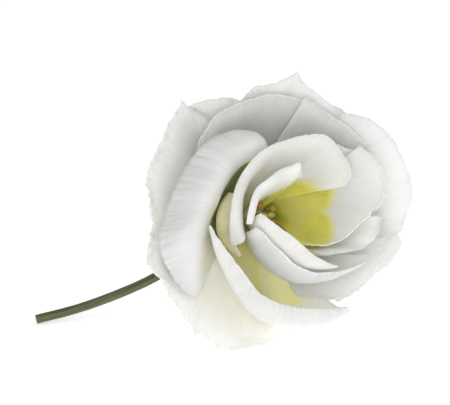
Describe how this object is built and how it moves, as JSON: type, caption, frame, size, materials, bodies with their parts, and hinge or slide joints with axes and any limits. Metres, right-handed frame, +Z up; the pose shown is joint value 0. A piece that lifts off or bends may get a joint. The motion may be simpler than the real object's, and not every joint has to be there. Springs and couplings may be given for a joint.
{
  "type": "lisianthus flower",
  "caption": "Cut double white lisianthus bloom on a slim green stem, lying on a surface with its layered waved petals cupped round a yellow-green centre.",
  "frame": {"origin": "on the surface, under the middle of the part", "axes": "+X from the cut end of the stem towards the bloom, +Y away from the side that the bloom faces, +Z up from the surface"},
  "size_m": [0.108, 0.0568, 0.0675],
  "materials": {
    "stem": "satin green skin",
    "outer_petal_left": "soft matt white petal",
    "outer_petal_upper_left": "soft matt white petal",
    "outer_petal_top": "soft matt white petal",
    "outer_petal_right": "soft matt white petal",
    "outer_petal_lower_right": "soft matt white petal",
    "outer_petal_bottom": "soft matt white petal",
    "middle_petal_left": "soft matt white petal",
    "middle_petal_upper_left": "soft matt white petal",
    "middle_petal_top": "soft matt white petal",
    "middle_petal_upper_right": "soft matt white petal",
    "middle_petal_right": "soft matt white petal",
    "middle_petal_lower_right": "soft matt white petal",
    "middle_petal_bottom": "soft matt white petal",
    "inner_petal_top": "soft matt white petal",
    "inner_petal_left": "soft matt white petal",
    "inner_petal_bud": "soft matt white petal",
    "inner_petal_right": "soft matt white petal",
    "inner_petal_lower": "soft matt white petal",
    "inner_petal_bottom": "soft matt white petal",
    "inner_petal_lower_left": "soft matt white petal",
    "sepal_1": "matt dark green",
    "sepal_2": "matt dark green",
    "sepal_3": "matt dark green",
    "sepal_4": "matt dark green",
    "sepal_5": "matt dark green",
    "pistil": "soft yellow-green",
    "stamen_1": "powdery brown-orange",
    "stamen_2": "powdery brown-orange",
    "stamen_3": "powdery brown-orange",
    "stamen_4": "powdery brown-orange",
    "stamen_5": "powdery brown-orange"
  },
  "bodies": {
    "root": {"stem": "stem", "outer_petal_left": "outer_petal_left", "outer_petal_upper_left": "outer_petal_upper_left", "outer_petal_top": "outer_petal_top", "outer_petal_right": "outer_petal_right", "outer_petal_lower_right": "outer_petal_lower_right", "outer_petal_bottom": "outer_petal_bottom", "middle_petal_left": "middle_petal_left", "middle_petal_upper_left": "middle_petal_upper_left", "middle_petal_top": "middle_petal_top", "middle_petal_upper_right": "middle_petal_upper_right", "middle_petal_right": "middle_petal_right", "middle_petal_lower_right": "middle_petal_lower_right", "middle_petal_bottom": "middle_petal_bottom", "inner_petal_top": "inner_petal_top", "inner_petal_left": "inner_petal_left", "inner_petal_bud": "inner_petal_bud", "inner_petal_right": "inner_petal_right", "inner_petal_lower": "inner_petal_lower", "inner_petal_bottom": "inner_petal_bottom", "inner_petal_lower_left": "inner_petal_lower_left", "sepal_1": "sepal_1", "sepal_2": "sepal_2", "sepal_3": "sepal_3", "sepal_4": "sepal_4", "sepal_5": "sepal_5", "pistil": "pistil", "stamen_1": "stamen_1", "stamen_2": "stamen_2", "stamen_3": "stamen_3", "stamen_4": "stamen_4", "stamen_5": "stamen_5"}
  },
  "joints": []
}
